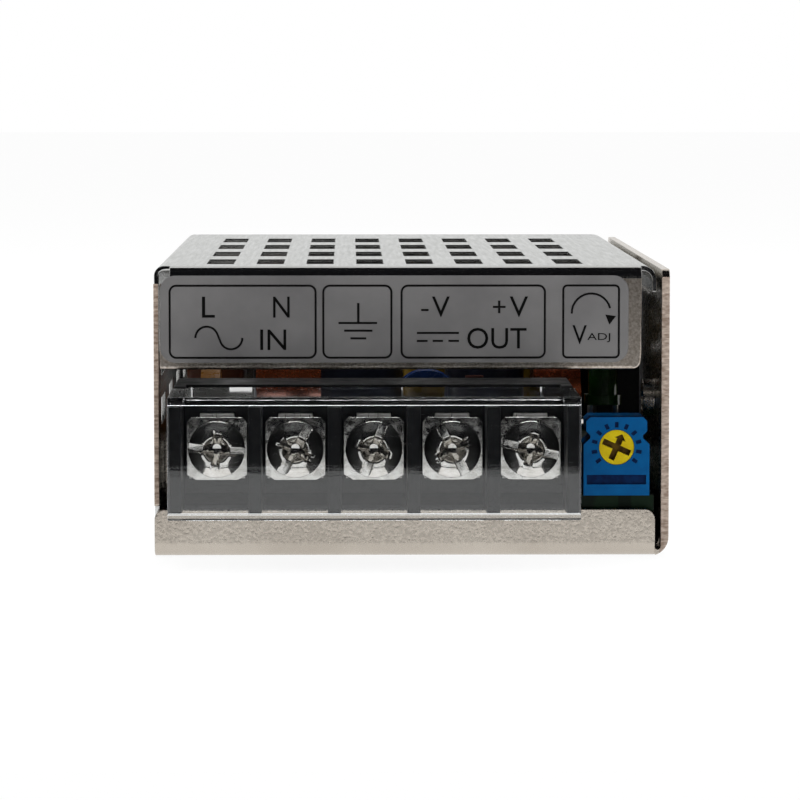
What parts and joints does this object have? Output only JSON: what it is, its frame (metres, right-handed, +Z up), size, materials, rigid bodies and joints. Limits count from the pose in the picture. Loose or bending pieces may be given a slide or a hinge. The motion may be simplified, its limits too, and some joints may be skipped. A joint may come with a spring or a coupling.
{
  "type": "enclosed switching power supply",
  "caption": "Slotted sheet-steel box power supply with a front screw terminal block under a clear flip-up cover, a voltage trimmer and a lamp.",
  "frame": {"origin": "middle of the base's underside, under the middle of the case", "axes": "+Y from the terminals to the rear, +Z up, +X to the right seen from the terminals"},
  "size_m": [0.051, 0.0945, 0.0288],
  "materials": {
    "nickel_steel": "bright nickel plate, satin grain",
    "cover_steel": "bright plated sheet, satin",
    "label_film": "satin printed film",
    "screw_steel": "nickel plated, bright",
    "film_insulator": "translucent film",
    "board_laminate": "laminate with solder mask",
    "spacer_metal": "turned",
    "block_plastic": "moulded, satin",
    "clear_plastic": "clear moulded polycarbonate",
    "contact_metal": "tin plated brass",
    "trimmer_blue": "moulded",
    "rotor_yellow": "moulded",
    "lamp_green": "tinted epoxy",
    "disc_blue": "dipped coating",
    "fuse_ceramic": "glazed",
    "varistor_yellow": "dipped coating",
    "ferrite": "sintered ferrite",
    "copper_wire": "enamelled copper wire",
    "film_box_yellow": "moulded box",
    "epoxy_black": "moulded epoxy",
    "sleeve_dark": "shrunk sleeve",
    "bobbin_black": "moulded",
    "winding_tape": "polyester tape",
    "pad_grey": "silicone pad",
    "core_yellow": "painted iron powder",
    "opto_white": "moulded epoxy",
    "resistor_grey": "coated"
  },
  "bodies": {
    "case": {"chassis": "nickel_steel", "top_cover": "cover_steel", "front_label": "label_film", "cover_screws": "screw_steel", "insulating_sheet": "film_insulator", "circuit_board": "board_laminate", "board_spacers": "spacer_metal", "board_screws": "screw_steel", "terminal_housing": "block_plastic", "terminal_contacts": "contact_metal", "trimmer_body": "trimmer_blue", "trimmer_pins": "contact_metal", "indicator_led": "lamp_green", "led_leads": "contact_metal", "disc_capacitor": "disc_blue", "fuse": "fuse_ceramic", "varistor": "varistor_yellow", "line_choke_core": "ferrite", "line_choke_windings": "copper_wire", "film_capacitor": "film_box_yellow", "bridge_rectifier": "epoxy_black", "bulk_capacitor": "sleeve_dark", "transformer_core": "ferrite", "transformer_bobbin": "bobbin_black", "transformer_winding": "winding_tape", "switch_transistor": "epoxy_black", "output_rectifier": "epoxy_black", "insulating_pads": "pad_grey", "transistor_screws": "screw_steel", "output_capacitors": "sleeve_dark", "output_choke_core": "core_yellow", "output_choke_winding": "copper_wire", "control_chip": "epoxy_black", "optocoupler": "opto_white", "supply_capacitor": "sleeve_dark", "power_resistors": "resistor_grey"},
    "clear_cover": {"terminal_cover": "clear_plastic"},
    "trimmer_knob": {"trimmer_rotor": "rotor_yellow"},
    "clamp_1": {"clamp_washer_1": "screw_steel"},
    "screw_1": {"terminal_screw_1": "screw_steel"},
    "clamp_2": {"clamp_washer_2": "screw_steel"},
    "screw_2": {"terminal_screw_2": "screw_steel"},
    "clamp_3": {"clamp_washer_3": "screw_steel"},
    "screw_3": {"terminal_screw_3": "screw_steel"},
    "clamp_4": {"clamp_washer_4": "screw_steel"},
    "screw_4": {"terminal_screw_4": "screw_steel"},
    "clamp_5": {"clamp_washer_5": "screw_steel"},
    "screw_5": {"terminal_screw_5": "screw_steel"}
  },
  "joints": [
    {"name": "cover_hinge", "type": "hinge", "parent": "case", "child": "clear_cover", "pos_m": [-0.0038, -0.0411, 0.0159], "axis": [-1, 0, 0], "range_deg": [0, 90]},
    {"name": "trimmer_turn", "type": "hinge", "parent": "case", "child": "trimmer_knob", "pos_m": [0.02033, -0.0389, 0.0108], "axis": [0, 1, 0], "range_deg": [-154, 106]},
    {"name": "clamp_1_lift", "type": "slide", "parent": "case", "child": "clamp_1", "axis": [0, -1, 0], "range_m": [0, 0.0015]},
    {"name": "screw_1_turn", "type": "hinge", "parent": "clamp_1", "child": "screw_1", "pos_m": [-0.01905, -0.0463, 0.01145], "axis": [0, -1, 0], "range_deg": [0, 1080]},
    {"name": "clamp_2_lift", "type": "slide", "parent": "case", "child": "clamp_2", "axis": [0, -1, 0], "range_m": [0, 0.0015]},
    {"name": "screw_2_turn", "type": "hinge", "parent": "clamp_2", "child": "screw_2", "pos_m": [-0.01143, -0.0463, 0.01145], "axis": [0, -1, 0], "range_deg": [0, 1080]},
    {"name": "clamp_3_lift", "type": "slide", "parent": "case", "child": "clamp_3", "axis": [0, -1, 0], "range_m": [0, 0.0015]},
    {"name": "screw_3_turn", "type": "hinge", "parent": "clamp_3", "child": "screw_3", "pos_m": [-0.00381, -0.0463, 0.01145], "axis": [0, -1, 0], "range_deg": [0, 1080]},
    {"name": "clamp_4_lift", "type": "slide", "parent": "case", "child": "clamp_4", "axis": [0, -1, 0], "range_m": [0, 0.0015]},
    {"name": "screw_4_turn", "type": "hinge", "parent": "clamp_4", "child": "screw_4", "pos_m": [0.00381, -0.0463, 0.01145], "axis": [0, -1, 0], "range_deg": [0, 1080]},
    {"name": "clamp_5_lift", "type": "slide", "parent": "case", "child": "clamp_5", "axis": [0, -1, 0], "range_m": [0, 0.0015]},
    {"name": "screw_5_turn", "type": "hinge", "parent": "clamp_5", "child": "screw_5", "pos_m": [0.01143, -0.0463, 0.01145], "axis": [0, -1, 0], "range_deg": [0, 1080]}
  ],
  "couplings": [
    {"joint": "screw_1_turn", "follows": "clamp_1_lift", "rad_per_m": 12566},
    {"joint": "screw_2_turn", "follows": "clamp_2_lift", "rad_per_m": 12566},
    {"joint": "screw_3_turn", "follows": "clamp_3_lift", "rad_per_m": 12566},
    {"joint": "screw_4_turn", "follows": "clamp_4_lift", "rad_per_m": 12566},
    {"joint": "screw_5_turn", "follows": "clamp_5_lift", "rad_per_m": 12566}
  ]
}
